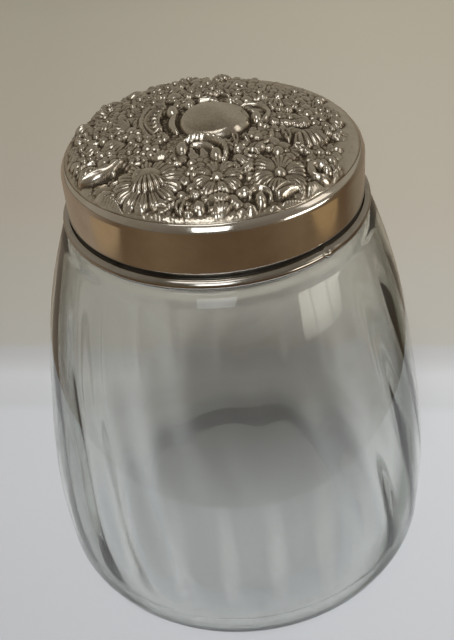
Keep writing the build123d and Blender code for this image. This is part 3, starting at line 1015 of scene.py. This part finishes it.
def surroundings():
    """A glowing sheet that paints what the polished lid mirrors: a brown bench in front, a tan patch at
    each side, beige behind.
    """
    mat = emitter("stage_surroundings", grey(1.0), 1.0)
    tree = mat.node_tree
    x, y, _ = coordinates(tree)
    angle = maths(tree, "ARCTAN2", x, maths(tree, "MULTIPLY", y, -1.0))
    beige, brown, dark = (0.255, 0.20, 0.145), (0.150, 0.104, 0.060), (0.108, 0.070, 0.040)
    bench = ramp(tree, remap(tree, angle, -math.pi, math.pi, 0, 1), [
        (0.00, beige), (0.21, beige), (0.30, dark), (0.38, brown), (0.48, dark), (0.58, dark),
        (0.66, brown), (0.77, dark), (0.79, dark), (0.84, (0.18, 0.145, 0.10)), (0.91, beige),
    ])
    left_patch = (-0.233, -0.009, 0.066, (0.31, 0.22, 0.127))
    right_patch = (0.233, -0.043, 0.062, (0.31, 0.205, 0.10))
    for x0, y0, half, tone in (left_patch, right_patch):
        dx = maths(tree, "DIVIDE", maths(tree, "SUBTRACT", x, x0), 0.026)
        dy = maths(tree, "DIVIDE", maths(tree, "SUBTRACT", y, y0), half)
        d = maths(tree, "ADD", maths(tree, "MULTIPLY", dx, dx), maths(tree, "MULTIPLY", dy, dy))
        bench = mix_colour(tree, remap(tree, d, 0.80, 1.10, 1, 0), bench, tone)
    link(tree, bench, tree.nodes["Emission"].inputs["Color"])
    return mat


def window_glow():
    """A dim, divided window: brighter panes that fade towards the frame."""
    mat = emitter("stage_window", (1.0, 0.95, 0.85), 1.0)
    tree = mat.node_tree
    _, y, z = coordinates(tree, "Generated")
    wave = maths(tree, "SINE", maths(tree, "MULTIPLY", y, 3 * math.pi))
    bars = maths(tree, "ABSOLUTE", wave)
    panes = remap(tree, bars, 0.05, 0.40, 2.4, 4.2)
    low = remap(tree, z, 0.0, 0.35, 0.25, 1.0)
    high = remap(tree, z, 0.75, 1.0, 1.0, 0.35)
    link(tree, maths(tree, "MULTIPLY", panes, maths(tree, "MULTIPLY", low, high)),
         tree.nodes["Emission"].inputs["Strength"])
    return mat


def ring_sheet(name, inner, outer, height, mat):
    """A flat ring round the object that only shows in its reflections."""
    angle = np.radians(np.arange(0, 360, 5))
    rim = np.stack([np.cos(angle), np.sin(angle)], -1)
    n = len(angle)
    corners = [(*(p * inner), height) for p in rim] + [(*(p * outer), height) for p in rim]
    faces = [(k, n + k, n + (k + 1) % n, (k + 1) % n) for k in range(n)]
    mesh = bpy.data.meshes.new(name)
    mesh.from_pydata([Vector(c) * MM for c in corners], [], faces)
    mesh.materials.append(mat)
    obj = bpy.data.objects.new(name, mesh)
    bpy.context.scene.collection.objects.link(obj)
    only_in_reflections(obj)


EDGE = 6000                     # half the side of the stage's floor
SQUARE = ((-1, -1), (1, -1), (1, 1), (-1, 1))
sheet("stage_floor", [(sx * EDGE, sy * EDGE, 0) for sx, sy in SQUARE], table_top())
# painted reflection: a glowing ring seen only in reflections, painted with the tones the skirt mirrors
ring_sheet("stage_bench_painted_reflection", 140, 1780, 1, surroundings())
sheet("stage_card_window", [(520, -480, 130), (700, -110, 70), (560, -170, 6), (500, -520, 10)],
      window_glow(), True)


def facing_card(name, direction, distance, width, height, colour, strength):
    """A glowing card that faces the lid and only shows in reflections."""
    centre = Vector((0, 0, 125)) + Vector(direction).normalized() * distance
    turn = Vector(direction).to_track_quat("Z", "Y")
    half = Vector((width / 2, height / 2, 0))
    corners = [centre + turn @ (half * Vector((sx, sy, 0))) for sx, sy in SQUARE]
    sheet("stage_card_" + name, corners, emitter("stage_" + name, colour, strength), True)


facing_card("key", (-0.10, -0.90, 0.38), 1000, 430, 470, (0.96, 0.99, 1.0), 3.0)
facing_card("ceiling", (-0.16, -0.42, 0.90), 1000, 560, 420, (1.0, 0.98, 0.94), 1.9)
facing_card("side", (0.95, -0.25, 0.42), 1100, 420, 420, (1.0, 0.93, 0.82), 1.1)


def area_light(name, direction, distance, size, power, colour):
    """A soft square light that points at the middle of the jar."""
    data = bpy.data.lights.new(name, "AREA")
    data.shape = "SQUARE"
    data.size = size
    data.energy = power
    data.color = colour
    obj = bpy.data.objects.new(name, data)
    bpy.context.scene.collection.objects.link(obj)
    target = Vector((0, 0, 0.09))
    obj.location = target + Vector(direction).normalized() * distance
    obj.rotation_euler = (target - obj.location).to_track_quat("-Z", "Y").to_euler()
    return obj


key = area_light("key", (-0.05, -0.42, 0.90), 1.0, 0.34, 11.0, (0.98, 0.99, 1.0))
side_window = area_light("window_right", (0.95, -0.25, 0.42), 1.1, 0.30, 1.6, (1.0, 0.96, 0.88))
for lamp in (key, side_window):
    lamp.visible_glossy = False
    lamp.visible_transmission = False

world = bpy.data.worlds.new("room")
bpy.context.scene.world = world
world.use_nodes = True
sky_tree = world.node_tree
sky = sky_tree.nodes["Background"]
_, sky_y, sky_z = coordinates(sky_tree, "Generated")
depth = remap(sky_tree, sky_y, -0.9, 0.3, 0, 1)
room = mix_colour(sky_tree, depth, (0.13, 0.11, 0.085), (0.29, 0.26, 0.21))
up = remap(sky_tree, sky_z, 0.25, 1.0, 0, 1)
link(sky_tree, mix_colour(sky_tree, up, room, (0.20, 0.18, 0.15)), sky.inputs["Color"])
sky.inputs["Strength"].default_value = 1.0

CAMERA_BACK = 5.8902            # in lid radii, in front of the jar's axis
CAMERA_UP = 3.4292              # in lid radii, above the lid's lower edge
CAMERA_PITCH = 0.6574           # radians below level
CAMERA_YAW = 0.0008
CAMERA_ROLL = -0.0926
camera = bpy.data.cameras.new("camera")
camera.sensor_width = 36
camera.lens = 56.25
camera.clip_start = 0.01
view = bpy.data.objects.new("camera", camera)
bpy.context.scene.collection.objects.link(view)
view.location = Vector((0, -CAMERA_BACK * LID_RADIUS, LID_BOTTOM + CAMERA_UP * LID_RADIUS)) * MM
tilt = Euler((math.pi / 2 - CAMERA_PITCH, 0, CAMERA_YAW)).to_matrix()
view.rotation_euler = (tilt @ Euler((0, 0, CAMERA_ROLL)).to_matrix()).to_euler()
bpy.context.scene.camera = view
bpy.context.scene.view_settings.view_transform = "Standard"
